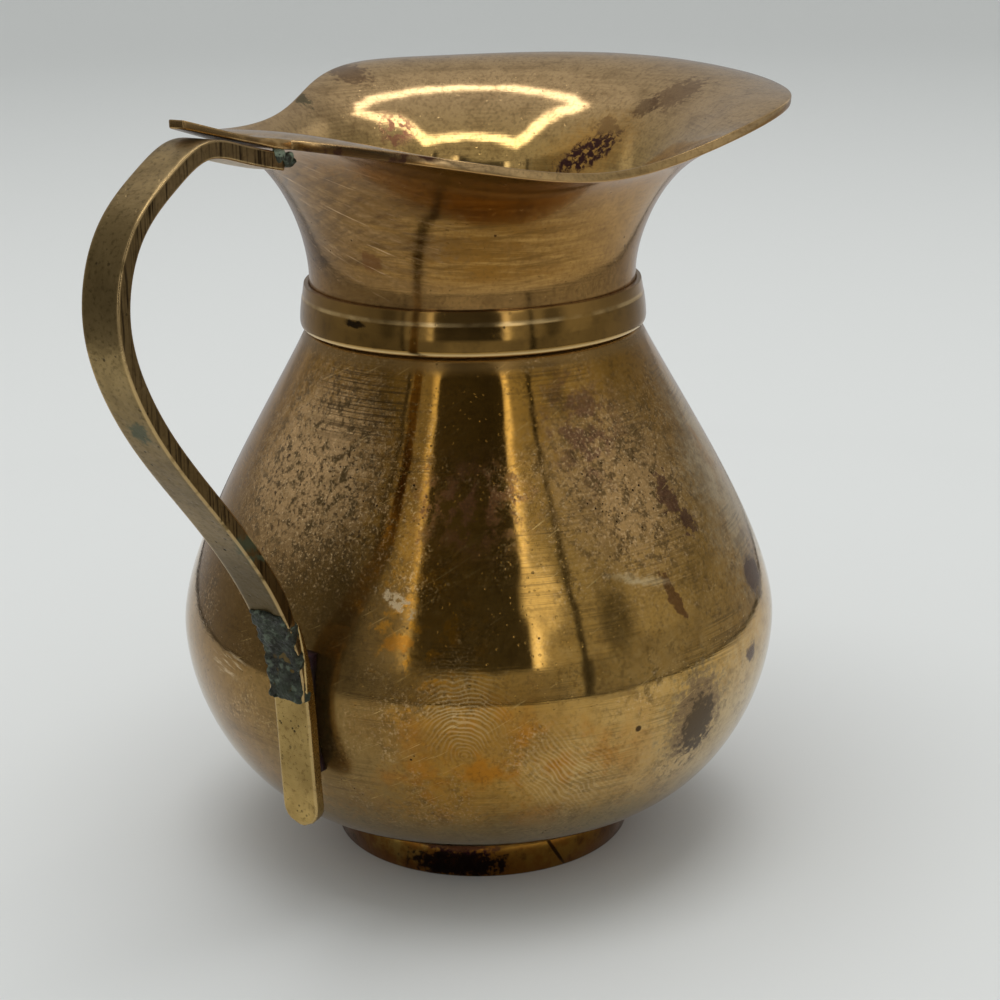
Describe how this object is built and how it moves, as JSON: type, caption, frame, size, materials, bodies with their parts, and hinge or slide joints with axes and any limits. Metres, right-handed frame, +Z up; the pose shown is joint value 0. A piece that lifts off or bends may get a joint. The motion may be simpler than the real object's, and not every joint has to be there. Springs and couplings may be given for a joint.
{
  "type": "cream jug",
  "caption": "Small round-bellied metal cream jug with a foot ring, a collared neck, a flared lip drawn to a pouring front, and a flat strap handle with a thumb rest.",
  "frame": {"origin": "on the surface that the jug stands on, under the middle of its overall length and in the handle's plane; the turned body's axis stands at X = +10.0 mm", "axes": "+X the way the lip pours, away from the handle; +Z up along the turned body's axis; the thumb rest leans to +Y"},
  "size_m": [0.1168, 0.076, 0.0984],
  "materials": {
    "brass_body": "aged satin polish",
    "brass_neck": "aged satin polish with fine turning lines",
    "brass_collar": "polished, darker in the corners",
    "brass_foot": "tarnished brown",
    "solder_foot": "dull brown solder",
    "brass_strap": "filed and aged, olive brown",
    "brass_tail": "filed, lighter yellow, pitted",
    "braze_lap": "rough grey-green crust",
    "solder_tail": "dull brown solder",
    "braze_rim": "rough grey-green bead"
  },
  "bodies": {
    "root": {"body_shell": "brass_body", "neck_spout": "brass_neck", "collar_ring": "brass_collar", "foot_ring": "brass_foot", "foot_solder": "solder_foot", "handle_strap": "brass_strap", "handle_tail": "brass_tail", "lap_braze": "braze_lap", "tail_solder": "solder_tail", "rim_braze": "braze_rim"}
  },
  "joints": []
}
